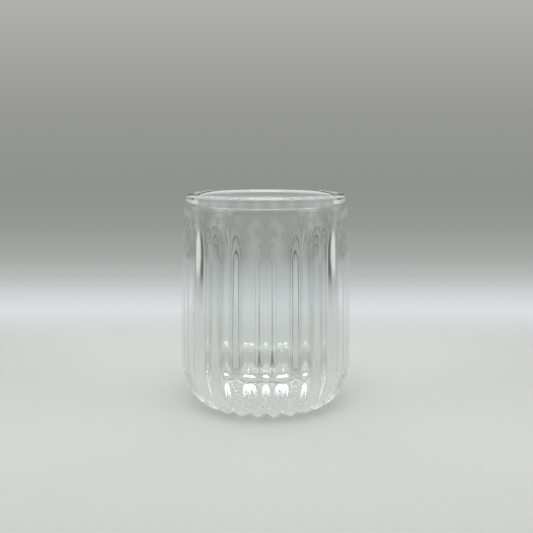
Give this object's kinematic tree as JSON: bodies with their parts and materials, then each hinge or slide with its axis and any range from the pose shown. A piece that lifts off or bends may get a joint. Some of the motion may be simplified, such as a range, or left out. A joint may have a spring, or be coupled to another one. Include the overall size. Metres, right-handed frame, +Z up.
{
  "type": "double-wall chai glass",
  "caption": "Clear double-wall tea glass with a fluted barrel body, a smooth band under a thick rounded rim and a scalloped foot.",
  "frame": {"origin": "centre of the foot, on the plane that the glass stands on", "axes": "+Z up along the axis of the glass, towards its mouth; -Y towards the front, where a flute is centred; +X to the right seen from the front"},
  "size_m": [0.0742, 0.0742, 0.093],
  "materials": {
    "shell_glass": "clear polished",
    "cup_glass": "clear polished",
    "plug_silicone": "translucent smooth"
  },
  "bodies": {
    "root": {"outer_shell": "shell_glass", "inner_cup": "cup_glass", "vent_plug": "plug_silicone"}
  },
  "joints": []
}
